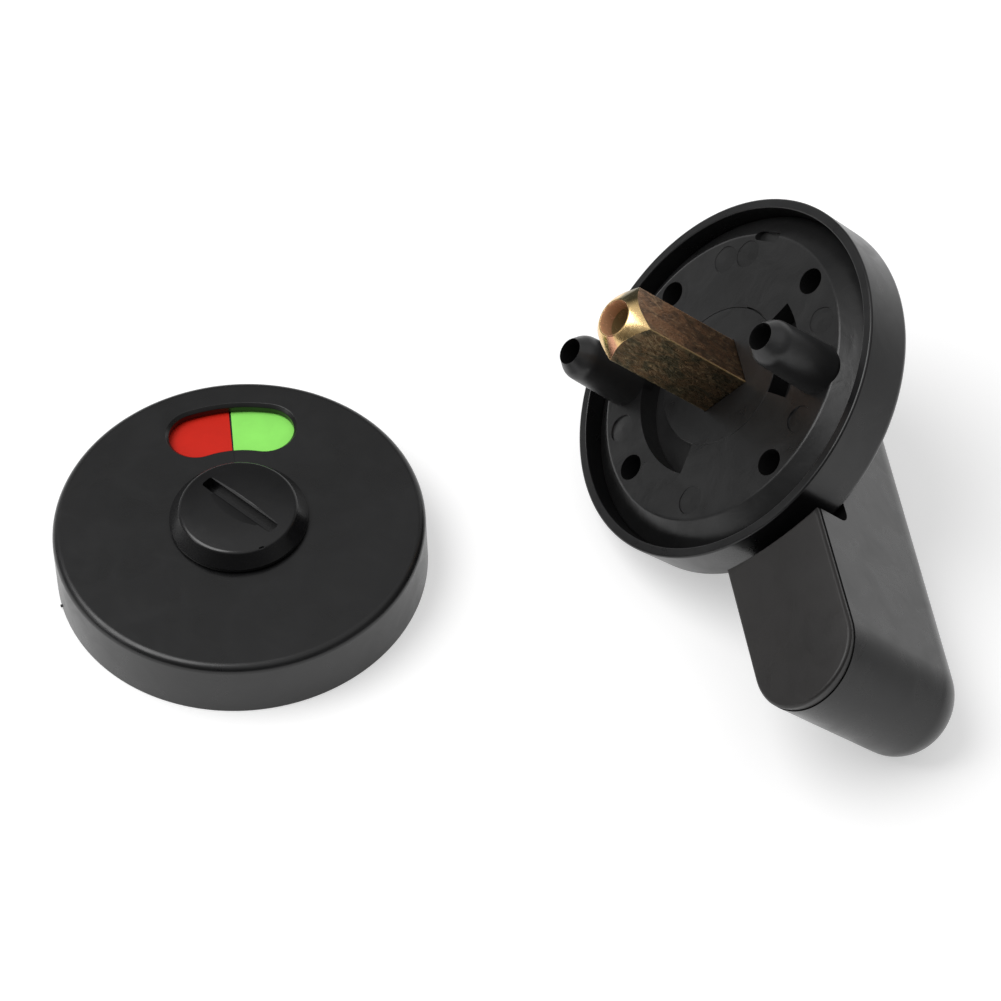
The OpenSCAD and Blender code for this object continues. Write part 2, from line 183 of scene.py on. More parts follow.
NOSE_UP = (HANDLE_DEPTH + JOINT_Z) / math.cos(HANDLE_SLOPE) - HANDLE_REACH * math.tan(HANDLE_SLOPE)
NOSE_X = HANDLE_REACH * math.cos(HANDLE_SLOPE) - NOSE_UP * math.sin(HANDLE_SLOPE)
NOSE_HW = ROOM_HW + (NOSE_UP - HANDLE_EDGE_R) * HANDLE_DRAFT
BEYOND = 90


# Flat outlines
def polar(r, degrees):
    return r * math.cos(math.radians(degrees)), r * math.sin(math.radians(degrees))


def arc(cx, cy, r, a0, a1, n):
    points = [polar(r, a0 + (a1 - a0) * i / n) for i in range(n + 1)]
    return [(cx + x, cy + y) for x, y in points]


def rounded(corners, n=6):
    """Closed outline of (x, y, radius) corners, each turned into an arc of that radius."""
    out = []
    for i, (x, y, r) in enumerate(corners):
        p = Vector((x, y))
        a = (Vector(corners[i - 1][:2]) - p).normalized()
        b = (Vector(corners[(i + 1) % len(corners)][:2]) - p).normalized()
        if r <= 0:
            out.append((x, y))
            continue
        half = a.angle(b) / 2
        centre = p + (a + b).normalized() * (r / math.sin(half))
        start = p + a * (r / math.tan(half)) - centre
        turn = start.angle_signed(p + b * (r / math.tan(half)) - centre)
        for k in range(n + 1):
            t = -turn * k / n
            out.append((centre.x + start.x * math.cos(t) - start.y * math.sin(t),
                        centre.y + start.x * math.sin(t) + start.y * math.cos(t)))
    return out


def window_outline(hw):
    """Outline of the curved window, half as wide as hw, counter-clockwise."""
    a0, a1 = 90 - WINDOW_SPAN / 2, 90 + WINDOW_SPAN / 2
    left, right = polar(WINDOW_MID_R, a1), polar(WINDOW_MID_R, a0)
    return (arc(0, 0, WINDOW_MID_R + hw, a0, a1, 32)[:-1]
            + arc(*left, hw, a1, a1 + 180, 28)[:-1]
            + arc(0, 0, WINDOW_MID_R - hw, a1, a0, 32)[:-1]
            + arc(*right, hw, a0 + 180, a0 + 360, 28)[:-1])


def slab_outline(length, hw, r):
    """Rectangle with rounded corners, centred."""
    x = length / 2
    return rounded([(x, -hw, r), (x, hw, r), (-x, hw, r), (-x, -hw, r)])


def square(width, r=0):
    return slab_outline(width, width / 2, r)


def bar_outline(hw, n=40):
    """Bar with round ends between the handle axis and the middle of its nose."""
    side = [(HANDLE_REACH * i / n, -hw) for i in range(1, n)]
    back = [(HANDLE_REACH - x, hw) for x, y in side]
    return arc(HANDLE_REACH, 0, hw, -90, 90, n) + back + arc(0, 0, hw, 90, 270, n) + side


def nose_outline(inset, n=16):
    """Plan of the nose at its cap, from the arc round the rose to its end, drawn in by inset."""
    hw, r = NOSE_HW - inset, NOSE_R + inset
    a = math.degrees(math.asin(hw / r))
    x = polar(r, a)[0]
    side = [(x + (NOSE_X - x) * i / n, -hw) for i in range(1, n)]
    back = [(x + NOSE_X - p, hw) for p, y in side]
    return arc(NOSE_X, 0, hw, -90, 90, 40) + back + arc(0, 0, r, a, -a, 28) + side


# Solids from outlines, as vertices and faces
def loft(rings):
    """Closed solid through rings of the same count of points, capped at both ends."""
    n = len(rings[0])
    verts = [p for ring in rings for p in ring]
    faces = [(i * n + k, i * n + (k + 1) % n, (i + 1) * n + (k + 1) % n, (i + 1) * n + k)
             for i in range(len(rings) - 1) for k in range(n)]
    faces += [tuple(reversed(range(n))), tuple(range(len(verts) - n, len(verts)))]
    return verts, faces


def level(outline, z):
    return [(x, y, z) for x, y in outline]


def prism(outline, z0, z1):
    return loft([level(outline, z0), level(outline, z1)])


def disc(r, z0, z1, n=64):
    return prism(arc(0, 0, r, 0, 360, n)[:-1], z0, z1)


def sector(r0, r1, a0, a1, z0, z1):
    n = max(4, round((a1 - a0) / 3))
    return prism(arc(0, 0, r1, a0, a1, n) + arc(0, 0, r0, a1, a0, n), z0, z1)


def lathe(profile, n=192):
    """Solid turned about Z from a closed profile of (r, z); points on the axis become poles."""
    verts, index = [], []
    for r, z in profile:
        if r < 1e-6:
            index.append([len(verts)] * n)
            verts.append((0, 0, z))
        else:
            index.append(list(range(len(verts), len(verts) + n)))
            verts += level(arc(0, 0, r, 0, 360, n)[:-1], z)
    faces = []
    for i, ring in enumerate(index):
        nxt = index[(i + 1) % len(index)]
        for k in range(n):
            face = list(dict.fromkeys((ring[k], ring[(k + 1) % n], nxt[(k + 1) % n], nxt[k])))
            if len(face) > 2:
                faces.append(tuple(face))
    return verts, faces


def ragged(shape, seed, depth=0.05):
    """Shape whose edge about Z wanders a little, as on a worn mould."""
    def grow(x, y):
        t = math.atan2(y, x)
        return 1 + depth * math.sin(2 * t + seed) + depth * 0.7 * math.sin(5 * t + 2 * seed)
    return [(x * grow(x, y), y * grow(x, y), z) for x, y, z in shape[0]], shape[1]


def flared(outline, low, top, width, r):
    """Cutter with straight walls from low and a softened chamfer up to the level top.
    outline(d) is the cut's outline, grown by d."""
    section = rounded([(0, low - top, 0), (0, -width, r), (width, 0, r), (width + 4, 0.4, 0)], 5)
    return loft([level(outline(d), top + z) for d, z in section])


def moved(shape, x=0.0, y=0.0, z=0.0, turn=0.0, tilt=0.0):
    """Shape tilted about X and turned about Z, in degrees, then shifted."""
    lie = (Matrix.Translation((x, y, z)) @ Matrix.Rotation(math.radians(turn), 4, "Z")
           @ Matrix.Rotation(math.radians(tilt), 4, "X"))
    return [tuple(lie @ Vector(v)) for v in shape[0]], shape[1]


def gather(shapes):
    verts, faces = [], []
    for v, f in shapes:
        faces += [tuple(i + len(verts) for i in face) for face in f]
        verts += v
    return verts, faces


# Objects
def solid(name, shape):
    mesh = bpy.data.meshes.new(name)
    mesh.from_pydata(shape[0], [], shape[1])
    bm = bmesh.new()
    bm.from_mesh(mesh)
    bmesh.ops.recalc_face_normals(bm, faces=bm.faces)
    bm.to_mesh(mesh)
    bm.free()
    obj = bpy.data.objects.new(name, mesh)
    bpy.context.scene.collection.objects.link(obj)
    return obj


def apply_modifiers(obj):
    bpy.context.view_layer.update()
    graph = bpy.context.evaluated_depsgraph_get()
    mesh = bpy.data.meshes.new_from_object(obj.evaluated_get(graph))
    obj.modifiers.clear()
    obj.data = mesh


def boolean(obj, shape, operation="DIFFERENCE"):
    tool = solid("tool", shape)
    step = obj.modifiers.new("cut", "BOOLEAN")
    step.operation = operation
    step.solver = "EXACT"
    step.object = tool
    apply_modifiers(obj)
    mesh = tool.data
    bpy.data.objects.remove(tool)
    bpy.data.meshes.remove(mesh)


def soften(obj, width, segments=2, angle=40):
    """Rounds every edge that is sharper than angle."""
    step = obj.modifiers.new("round", "BEVEL")
    step.width = width
    step.segments = segments
    step.limit_method = "ANGLE"
    step.angle_limit = math.radians(angle)
    step.miter_outer = "MITER_ARC"
    step.use_clamp_overlap = True
    apply_modifiers(obj)


def face_values(mesh, key):
    """New value for each face of the mesh, which its finish can read by that key."""
    return mesh.attributes.new(key, "FLOAT", "FACE")


def is_level(face):
    return face.normal.z > 0.995


def place(obj, half, body, material, slot, *nodes, flat=lambda face: False):
    """Puts a piece that was modelled in millimetres into its half, on its body, for its CAD nodes.
    All faces are shaded smooth but those picked by flat."""
    picked = [flat(p) for p in obj.data.polygons]
    obj.data.transform(half)
    obj.data.set_sharp_from_angle(angle=math.radians(38))
    for p, is_flat in zip(obj.data.polygons, picked):
        p.use_smooth = not is_flat
    step = obj.modifiers.new("normals", "WEIGHTED_NORMAL")
    step.keep_sharp = True
    step.weight = 90
    apply_modifiers(obj)
    obj.data.materials.clear()
    obj.data.materials.append(material)
    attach(obj, body)
    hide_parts(*nodes)


# Materials
class Nodes:
    """Adds and links the shader nodes of one material or world."""

    def __init__(self, owner):
        owner.use_nodes = True
        self.owner = owner
        self.tree = owner.node_tree
        self.coords = None

    def find(self, kind):
        return next(n for n in self.tree.nodes if n.type == kind)

    def feed(self, socket, value):
        if isinstance(value, bpy.types.NodeSocket):
            self.tree.links.new(value, socket)
        else:
            socket.default_value = value

    def fill(self, node, inputs):
        for key, value in inputs.items():
            self.feed(node.inputs[key.replace("_", " ")], value)
        return node

    def add(self, kind, **inputs):
        return self.fill(self.tree.nodes.new(kind), inputs)

    def surface(self, **inputs):
        self.fill(self.find("BSDF_PRINCIPLED"), inputs)
        return self.owner

    def turned(self, turn):
        """Place on the object in metres, along axes turned by that much."""
        if self.coords is None:
            self.coords = self.add("ShaderNodeTexCoord").outputs["Object"]
        return self.add("ShaderNodeMapping", Vector=self.coords, Rotation=turn).outputs[0]

    def noise(self, scale, detail=3.0, rough=0.5, stretch=(1, 1, 1), turn=(0, 0, 0), distortion=0.0):
        """Noise over the object in millimetres, stretched along turned axes."""
        per_mm = tuple(s / MM for s in stretch)
        sized = self.add("ShaderNodeMapping", Vector=self.turned(turn), Scale=per_mm)
        node = self.add("ShaderNodeTexNoise", Vector=sized.outputs[0], Scale=scale, Detail=detail,
                        Roughness=rough, Distortion=distortion)
        return node.outputs["Fac"]

    def attribute(self, key):
        """Value that the mesh carries for each face, zero where it carries none."""
        node = self.add("ShaderNodeAttribute")
        node.attribute_name = key
        return node.outputs["Fac"]

    def remap(self, value, low, high, to_low, to_high):
        node = self.add("ShaderNodeMapRange", Value=value, From_Min=low, From_Max=high,
                        To_Min=to_low, To_Max=to_high)
        return node.outputs["Result"]

    def calc(self, operation, a, b):
        node = self.tree.nodes.new("ShaderNodeMath")
        node.operation = operation
        self.feed(node.inputs[0], a)
        self.feed(node.inputs[1], b)
        return node.outputs[0]

    def mix(self, factor, a, b):
        node = self.tree.nodes.new("ShaderNodeMix")
        node.data_type = "RGBA"
        for index, value in ((0, factor), (6, a), (7, b)):
            self.feed(node.inputs[index], value)
        return node.outputs[2]

    def bump(self, height, distance, normal=None):
        node = self.add("ShaderNodeBump", Height=height, Distance=distance * MM)
        if normal is not None:
            self.feed(node.inputs["Normal"], normal)
        return node.outputs["Normal"]


def material(name):
    return Nodes(bpy.data.materials.new(name))


def shade(colour, k):
    return tuple(c * k for c in colour) + (1,)


def nylon(name, colour, rough, grain=0.003, waves=0.02, dust=0.3):
    """Moulded nylon: faint clouds in the colour, fine grain, slow waves of shrinkage, uneven polish.
    Faces with the attribute that make_plate writes on the pillars are painted paler, as painted light, and are
    duller."""
    n = material(name)
    pale = shade(colour, 2.2)
    painted_light_and_matte = n.attribute("painted_light_and_matte")
    clouds = n.noise(0.09, 4.0, 0.6)
    fine = n.noise(4.5, 3.0, 0.6)
    flow = n.noise(0.2, 3.0, 0.55, distortion=0.8)
    base = n.mix(n.remap(clouds, 0.3, 0.7, 0.0, 1.0), shade(colour, 0.8), shade(colour, 1.25))
    dusty = n.mix(n.remap(fine, 0.6, 0.8, 0.0, dust), base, pale)
    # Painted light: the marked pillar faces turn paler
    grey = n.mix(painted_light_and_matte, dusty, pale)
    polish = n.remap(flow, 0.3, 0.7, rough - 0.04, rough + 0.06)
    dull = n.calc("ADD", polish, n.calc("MULTIPLY", painted_light_and_matte, 0.04))
    height = n.bump(flow, waves, n.bump(fine, grain))
    return n.surface(Base_Color=grey, Roughness=dull, Normal=height)


def painted(name, colour, rough):
    """Colour inlay: plain, slightly uneven plastic, dulled by handling."""
    n = material(name)
    clouds = n.noise(0.25, 3.0, 0.6)
    fine = n.noise(4.0, 2.0, 0.5)
    base = n.mix(n.remap(clouds, 0.3, 0.7, 0.0, 1.0), shade(colour, 0.95), shade(colour, 1.04))
    polish = n.remap(fine, 0.3, 0.7, rough - 0.05, rough + 0.08)
    height = n.bump(fine, 0.004)
    return n.surface(Base_Color=base, Roughness=polish, Normal=height, Specular_IOR_Level=0.2)


def steel(name, colour, rough):
    """Plain metal with fine tool marks."""
    n = material(name)
    marks = n.noise(3.0, 4.0, 0.6)
    clouds = n.noise(0.3, 3.0, 0.5)
    base = n.mix(n.remap(clouds, 0.3, 0.7, 0.0, 1.0), shade(colour, 0.85), shade(colour, 1.1))
    polish = n.remap(marks, 0.3, 0.7, rough - 0.08, rough + 0.12)
    return n.surface(Base_Color=base, Metallic=1.0, Roughness=polish, Normal=n.bump(marks, 0.006))


def yellow_zinc(name):
    """Yellow passivated zinc: rough rolled sides, mottled brown with cream streaks painted on as glints and
    painted shade darkening it towards the hub, and a bright turned point. The faces carry the attributes turned,
    bore and a signed one for pink tint and painted shade."""
    n = material(name)
    upright = handle_half.to_3x3().normalized().inverted()
    turn = upright.to_euler()
    foot = (upright @ handle_half.translation).z

    point, bore, tint_and_shade = (n.attribute(key) for key in ("turned", "bore", "tint_and_shade"))
    along = n.add("ShaderNodeSeparateXYZ", Vector=n.turned(turn)).outputs["Z"]
    mottle = n.noise(0.45, 5.0, 0.65, stretch=(1, 1, 0.5), turn=turn, distortion=1.0)
    scale = n.noise(2.2, 5.0, 0.7, stretch=(1, 1, 0.42), turn=turn, distortion=0.5)
    hairs = n.noise(5.0, 3.0, 0.6, stretch=(1.6, 1.6, 0.22), turn=turn)
    rings = n.noise(3.0, 3.0, 0.6, stretch=(0.3, 0.3, 4.0), turn=turn)
    patches = n.noise(0.24, 3.0, 0.6, stretch=(1, 1, 0.6), turn=turn, distortion=1.5)

    # Rolled sides: real brown mottle, with cream streaks painted on as glints
    brown = n.mix(n.remap(mottle, 0.42, 0.58, 0.0, 1.0), (0.1, 0.08, 0.045, 1), (0.42, 0.22, 0.105, 1))
    glint_patches = n.remap(patches, 0.42, 0.62, 0.15, 1.0)
    bright = n.calc("MULTIPLY", n.remap(scale, 0.48, 0.64, 0.0, 1.0), glint_patches)
    streaks = n.mix(bright, brown, (0.85, 0.6, 0.33, 1))
    # Pink tint where the signed attribute is above zero; painted shade, dark olive, where it is below
    rosy = n.mix(n.remap(tint_and_shade, 0.0, 0.5, 0.0, 0.25), streaks, (0.55, 0.28, 0.18, 1))
    dull = n.mix(n.remap(tint_and_shade, -0.7, 0.0, 0.62, 0.0), rosy, (0.075, 0.07, 0.04, 1))
    # Painted shade: darker towards the hub
    deep = n.mix(n.remap(along, foot, foot + 14 * MM, 0.55, 0.0), dull, (0.06, 0.045, 0.03, 1))
    worn = n.mix(n.remap(hairs, 0.62, 0.75, 0.0, 0.4), deep, (0.85, 0.7, 0.5, 1))

    # Turned point
    cream = n.mix(n.remap(mottle, 0.4, 0.7, 0.0, 0.5), (0.88, 0.63, 0.3, 1), (0.84, 0.5, 0.19, 1))
    pink = n.mix(n.remap(tint_and_shade, 0.0, 0.8, 0.0, 0.85), cream, (0.62, 0.28, 0.19, 1))
    # Painted shade on the point: a painted dark reflection on one side, and shade deep in the bore
    olive = n.mix(n.remap(tint_and_shade, -0.7, 0.0, 0.9, 0.0), pink, (0.1, 0.095, 0.05, 1))

    # Polish and relief
    polish = n.calc("SUBTRACT", n.remap(scale, 0.3, 0.7, 0.25, 0.45), n.calc("MULTIPLY", point, 0.12))
    rolled = n.calc("ADD", scale, n.calc("MULTIPLY", hairs, 0.3))
    sides = n.calc("MULTIPLY", rolled, n.calc("SUBTRACT", 1.0, point))
    height = n.bump(sides, 0.34, n.bump(n.calc("MULTIPLY", rings, point), 0.01))
    metal = n.calc("SUBTRACT", 1.0, n.calc("MULTIPLY", bore, 0.8))
    colour = n.mix(point, worn, olive)
    return n.surface(Base_Color=colour, Metallic=metal, Roughness=polish, Normal=height)


BLACK = (0.006, 0.006, 0.0064)
cover_nylon = nylon("cover_nylon", BLACK, 0.3)
plate_nylon = nylon("plate_nylon", (0.009, 0.009, 0.0092), 0.31, grain=0.006, waves=0.08)
knob_nylon = nylon("knob_nylon", (0.004, 0.004, 0.0044), 0.21, grain=0.002, dust=0.15)
handle_nylon = nylon("handle_nylon", BLACK, 0.28)
cap_nylon = nylon("cap_nylon", (0.0115, 0.0102, 0.0098), 0.45, grain=0.008, waves=0.05)
dial_plastic = nylon("dial_plastic", (0.02, 0.02, 0.02), 0.45)
bush_plastic = nylon("bush_plastic", (0.7, 0.68, 0.6), 0.4, dust=0.0)
red_print = painted("red_print", (0.66, 0.019, 0.008), 0.5)
green_print = painted("green_print", (0.32, 0.92, 0.155), 0.5)
core_steel = steel("core_steel", (0.5, 0.5, 0.52), 0.4)
spring_steel = steel("spring_steel", (0.55, 0.55, 0.57), 0.3)
brass = steel("brass_turned", (0.7, 0.5, 0.2), 0.3)
zinc = yellow_zinc("yellow_zinc")

# CAD nodes that stay as they are get their finish here
KEPT = {
    "outer_plate": plate_nylon,
    "plate_inserts": brass,
    "indicator_dial": dial_plastic,
    "red_sector": red_print,
    "green_sector": green_print,
    "dial_spring": spring_steel,
    "dial_ring": spring_steel,
    "bearing_bush": bush_plastic,
    "hub_spring": spring_steel,
    "hub_pin": core_steel,
    "handle_core": core_steel,
    "grub_screw": core_steel,
}
for name, finish in KEPT.items():
    mesh = frame["nodes"][name].data
    mesh.materials.clear()
    mesh.materials.append(finish)


# Outer half
def make_cover():
    bore_r = KNOB_SHAFT_R + 0.06
    inner_r = COVER_R - CUP_WALL
    face_z = COVER_H - CUP_FACE
    profile = rounded([(inner_r, 0, 0.12), (COVER_R, 0, 0.2),
                       (COVER_R - DRAFT * COVER_H, COVER_H, CUP_EDGE_R), (bore_r, COVER_H, 0.05),
                       (bore_r, face_z, 0.05), (inner_r, face_z, 0.4)], 10)
    cover = solid("cover", lathe(profile, 256))
    window = flared(lambda d: window_outline(WINDOW_HW + d), face_z - 1, COVER_H, WINDOW_EDGE, 0.2)
    boolean(cover, window)
    flash = prism(slab_outline(0.5, 0.16, 0.07), 0.35, 0.65)
    boolean(cover, moved(flash, *polar(COVER_R, FLASH_ANG), turn=FLASH_ANG), "UNION")
    place(cover, outer_half, "fixed", cover_nylon, "cover_nylon", "indicator_cover")


def fade_cutter(steps=8):
    """Cutter for the near edge of the knob's slot, which falls away from the crown in a soft slope."""
    rings = []
    for k in range(steps + 1):
        u = k / steps
        near_y = -SLOT_W / 2 - FADE_W * u
        side_x = SLOT_LEN / 2 - FADE_W * (1.3 - u)
        edge = [(-side_x, near_y), (side_x, near_y), (side_x + 0.8, 0), (-side_x - 0.8, 0)]
        rings.append(level(edge, KNOB_TOP_Z + 0.003 - FADE_DEEP * (1 - u) ** 2))
    rings.append(level(edge, KNOB_TOP_Z + 1))
    return loft(rings)


def make_knob():
    foot_z = COVER_H + RUN_GAP
    rim_z = KNOB_TOP_Z - KNOB_CROWN
    flat_r = KNOB_TOP_R * 0.25
    profile = [(0, KNOB_SHAFT_Z, 0), (KNOB_SHAFT_R, KNOB_SHAFT_Z, 0.2), (KNOB_SHAFT_R, foot_z, 0.05),
               (KNOB_FOOT_R, foot_z, 0.1), (KNOB_FOOT_R, foot_z + KNOB_LAND, 0.15),
               (KNOB_TOP_R, rim_z, KNOB_ROUND)]
    for k in (0.7, 0.55, 0.4, 0.2, 0):
        profile.append((flat_r + (KNOB_TOP_R - flat_r) * k, KNOB_TOP_Z - KNOB_CROWN * k * k, 0))
    profile.append((0, KNOB_TOP_Z, 0))
    knob = solid("knob", lathe(rounded(profile, 10)))
    along, across = (Vector((*polar(1, a), 0)) for a in (SLOT_ANG, SLOT_ANG + 90))
    slot_at = polar(SLOT_OFF, SLOT_ANG + 90)
    boolean(knob, moved(fade_cutter(), *slot_at, turn=SLOT_ANG))
    nick = ragged(prism(slab_outline(0.8, 0.3, 0.15), -0.2, 2), 1)
    boolean(knob, moved(nick, *polar(KNOB_TOP_R + 0.1, NICK_ANG), rim_z, turn=NICK_ANG + 90))
    slot = flared(lambda d: slab_outline(SLOT_LEN + 2 * d, SLOT_W / 2 + d, 0.35 + d),
                  KNOB_TOP_Z - SLOT_DEEP, KNOB_TOP_Z, SLOT_EDGE, 0.12)
    boolean(knob, moved(slot, *slot_at, turn=SLOT_ANG))
    boolean(knob, prism(square(SOCKET_W, 0.2), -1, SOCKET_TOP))

    def is_cut(face):
        """Faces of the slot and its faded edge, which must not blend with the crown."""
        x, y = face.center.dot(along), face.center.dot(across) - SLOT_OFF
        in_slot = abs(x) < SLOT_LEN / 2 + SLOT_EDGE + 0.1 and abs(y) < SLOT_W / 2 + SLOT_EDGE + 0.2
        return in_slot or (y < 0 and face.normal.z > 0.9 and face.normal.dot(across) > 0.003)

    place(knob, outer_half, "indicator", knob_nylon, "knob_nylon", "release_knob", flat=is_cut)


make_cover()
make_knob()


# Inner half
def make_rose():
    inner_r = ROSE_R - CUP_WALL
    floor_z = CUP_FACE - ROSE_H
    profile = rounded([(ROSE_HOLE_R, -ROSE_H, 0.2), (ROSE_R - DRAFT * ROSE_H, -ROSE_H, CUP_EDGE_R),
                       (ROSE_R, 0, 0.35), (inner_r, 0, 0.2), (inner_r, floor_z, 0.3),
                       (ROSE_HOLE_R, floor_z, 0.05)], 10)
    rose = solid("rose", lathe(profile, 256))
    place(rose, inner_half, "fixed", cover_nylon, "cover_nylon", "rose_cover")


def pillar_shapes(below):
    """Screw pillar and its bore, which goes down to the level below."""
    core_r = PILLAR_BORE_R - 0.4
    post = rounded([(core_r, -PLATE_T / 2, 0), (PILLAR_R, -PLATE_T / 2, 0), (PILLAR_R, 0, 0),
                    (PILLAR_TIP_R, PILLAR_H - PILLAR_CONE, 3),
                    (PILLAR_BORE_R + PILLAR_LIP, PILLAR_H, 0), (core_r, PILLAR_H, 0)], 10)
    bore = [(0, below), (PILLAR_BORE_R, below), (PILLAR_BORE_R, PILLAR_H - 0.7), (MOUTH_R, PILLAR_H),
            (MOUTH_R + 0.4, PILLAR_H + 1), (0, PILLAR_H + 1)]
    return lathe(post, 96), lathe(bore, 96)


def make_plate():
    foot_z = CUP_FACE - ROSE_H + PUSH_GAP
    below = -PLATE_T - 1
    profile = rounded([(HUB_BORE_R, -PLATE_T, 0), (PLATE_EDGE_R - SKIRT_W, below, 0),
                       (PLATE_EDGE_R - SKIRT_W, foot_z, 0), (PLATE_EDGE_R, foot_z, 0.1),
                       (PLATE_EDGE_R, -PLATE_DROP, 0.4), (PLATE_FACE_R, 0, 0.8), (HUB_BORE_R, 0, 0)])
    plate = solid("base", lathe(profile, 256))
    cuts = []
    for a in range(45, 360, 90):
        cuts.append(moved(disc(HOLE_R, below, 1), *polar(HOLE_PCR, a)))
    for r, a0, a1 in ARCS:
        cuts.append(sector(HUB_BORE_R - 1, r, a0, a1, below, 1))
    boolean(plate, gather(cuts))
    mark = lathe([(0, 0.8), (MARK_R + 0.12, 0.8), (MARK_R - 0.12, -MARK_DEEP / 2),
                  (0, -MARK_DEEP / 4)], 72)
    for a, turn in MARKS:
        spot = polar(HOLE_PCR - 0.3, a)
        boolean(plate, moved(ragged(mark, a, 0.02), *spot, turn=turn, tilt=MARK_TILT))
    scuff = ragged(prism(slab_outline(4.4, 0.8, 0.6), -1.1, 1), 2, 0.1)
    boolean(plate, moved(scuff, *polar(PLATE_FACE_R - 0.2, SCUFF_ANG), turn=-10))
    boolean(plate, sector(HUB_BORE_R - 0.5, HUB_BORE_R + RUB_W, *RUB_SPAN, -0.6, 1))
    post, bore = pillar_shapes(below)
    for x in (-PILLAR_X, PILLAR_X):
        boolean(plate, moved(post, x), "UNION")
        boolean(plate, moved(bore, x))
    # Pillar sides outside the bores are painted paler, as painted light, and made rougher
    painted_light_and_matte = face_values(plate.data, "painted_light_and_matte")
    for p in plate.data.polygons:
        outside = math.hypot(abs(p.center.x) - PILLAR_X, p.center.y) > MOUTH_R
        painted_light_and_matte.data[p.index].value = float(outside and p.center.z > 0.1)
    place(plate, inner_half, "fixed", plate_nylon, "plate_nylon", "base_plate", flat=is_level)


def make_hub():
    flange_foot = FLANGE_Z - FLANGE_T
    profile = [(0, NECK_END), (NECK_R, NECK_END), (NECK_R, flange_foot), (FLANGE_R, flange_foot),
               (FLANGE_R, FLANGE_Z), (HUB_R, FLANGE_Z), (HUB_R, -HUB_EDGE), (HUB_R - HUB_EDGE, 0),
               (0, 0)]
    hub = solid("hub", lathe(profile))
    boolean(hub, sector(HUB_R - 1, LUG_R, *LUG_SPAN, FLANGE_Z - FLANGE_T / 2, LUG_TOP), "UNION")
    socket = prism(square(SOCKET_W, 0.15), NECK_END - 1, 1)
    boolean(hub, moved(socket, turn=HANDLE_ANG))
    place(hub, inner_half, "turn", plate_nylon, "plate_nylon", "drive_hub", flat=is_level)


def tint_faces(mesh, wide_z):
    """Writes what the finish needs to know of each face of the spindle: how far it is turned metal, with the edges
    between the flats taking 0.8 as a painted highlight line; whether it lies in the bore; and a signed value,
    painted shade below zero and pink tint above."""
    turned, bore, tint_and_shade = (face_values(mesh, key) for key in ("turned", "bore", "tint_and_shade"))

    def near(angle, middle, width):
        off = (angle - middle + 180) % 360 - 180
        return max(0.0, 1 - (off / width) ** 2)

    for p in mesh.polygons:
        x, y, z = p.center
        angle = math.degrees(math.atan2(y, x))
        inside = math.hypot(x, y) < TAP_R + TAP_FLARE + 0.02
        edge = min(abs(x), abs(y)) > SPINDLE_W / 2 - 0.2
        tip = p.normal.z > 0.3 and z > wide_z
        deep = inside and z < SPINDLE_OUT - TAP_MOUTH
        # Edges between the flats take most of the point's colour and, through the bore value, less metal: a
        # painted highlight line
        turned.data[p.index].value = 1.0 if tip or inside else 0.8 * edge
        bore.data[p.index].value = 0.9 * inside + 0.6 * (edge and not tip)
        # Bore: painted shade deep down, pink at the mouth. Point: a pink patch and a painted dark reflection.
        # Sides: pink on flats facing +y, painted shade on flats facing +x.
        if inside:
            tint_and_shade.data[p.index].value = -0.5 if deep else 0.6
        elif tip:
            tint_and_shade.data[p.index].value = near(angle, -31, 16) - near(angle, 126, 28)
        else:
            tint_and_shade.data[p.index].value = 0.5 * max(0, p.normal.y) - 0.7 * max(0, p.normal.x)


def make_spindle():
    above = SPINDLE_OUT + 1
    spindle = solid("bar", prism(square(SPINDLE_W, SPINDLE_CORNER), -SPINDLE_IN, above))
    slope = SPINDLE_POINT / (SPINDLE_W / math.sqrt(2) - POINT_R)
    wide_z = SPINDLE_OUT - slope * (SPINDLE_W - POINT_R)
    point = [(0, -BEYOND), (SPINDLE_W, -BEYOND), (SPINDLE_W, wide_z), (POINT_R, SPINDLE_OUT),
             (0, SPINDLE_OUT)]
    boolean(spindle, lathe(point), "INTERSECT")
    foot = SPINDLE_OUT - TAP_DEEP
    tap = [(0, foot), (TAP_R, foot), (TAP_R, SPINDLE_OUT - TAP_MOUTH),
           (TAP_R, SPINDLE_OUT - 4 * TAP_FLARE), (TAP_R + TAP_FLARE, SPINDLE_OUT),
           (TAP_R + TAP_FLARE + 0.25, above), (0, above)]
    boolean(spindle, lathe(tap, 96))
    soften(spindle, 0.05)
    tint_faces(spindle.data, wide_z)
    place(spindle, handle_half, "turn", zinc, "spindle_steel", "spindle")


make_rose()
make_plate()
make_hub()
make_spindle()


# Handle
def make_handle():
    top = HANDLE_DEPTH + 12
    rings = [level(bar_outline(x), z) for x, z in
             arc(ROOM_HW - HANDLE_EDGE_R, HANDLE_EDGE_R, HANDLE_EDGE_R, -90, 0, 20)]
    rings.append(level(bar_outline(ROOM_HW + (top - HANDLE_EDGE_R) * HANDLE_DRAFT), top))
    lean = Matrix.Translation((0, 0, -HANDLE_DEPTH)) @ Matrix.Rotation(-HANDLE_SLOPE, 4, "Y")
    verts, faces = loft(rings)
    handle = solid("handle", ([tuple(lean @ Vector(v)) for v in verts], faces))
    boolean(handle, prism(square(2 * BEYOND), JOINT_Z, BEYOND))
    boolean(handle, lathe(rounded([(0, BAR_Z, 0), (NOSE_R, BAR_Z, NOSE_FILLET), (NOSE_R, BEYOND, 0),
                                   (0, BEYOND, 0)], 10), 256))
    boolean(handle, prism(nose_outline(NOSE_WALL), NOSE_FLOOR, BEYOND))
    boolean(handle, disc(CORE_R, -SPINDLE_IN - 1, BEYOND, 96))
    boolean(handle, moved(disc(GRUB_R, 0, 2 * HANDLE_HW), z=GRUB_Z, turn=-90, tilt=90))
    soften(handle, 0.18)
    place(handle, handle_half, "turn", handle_nylon, "handle_nylon", "handle_shell")


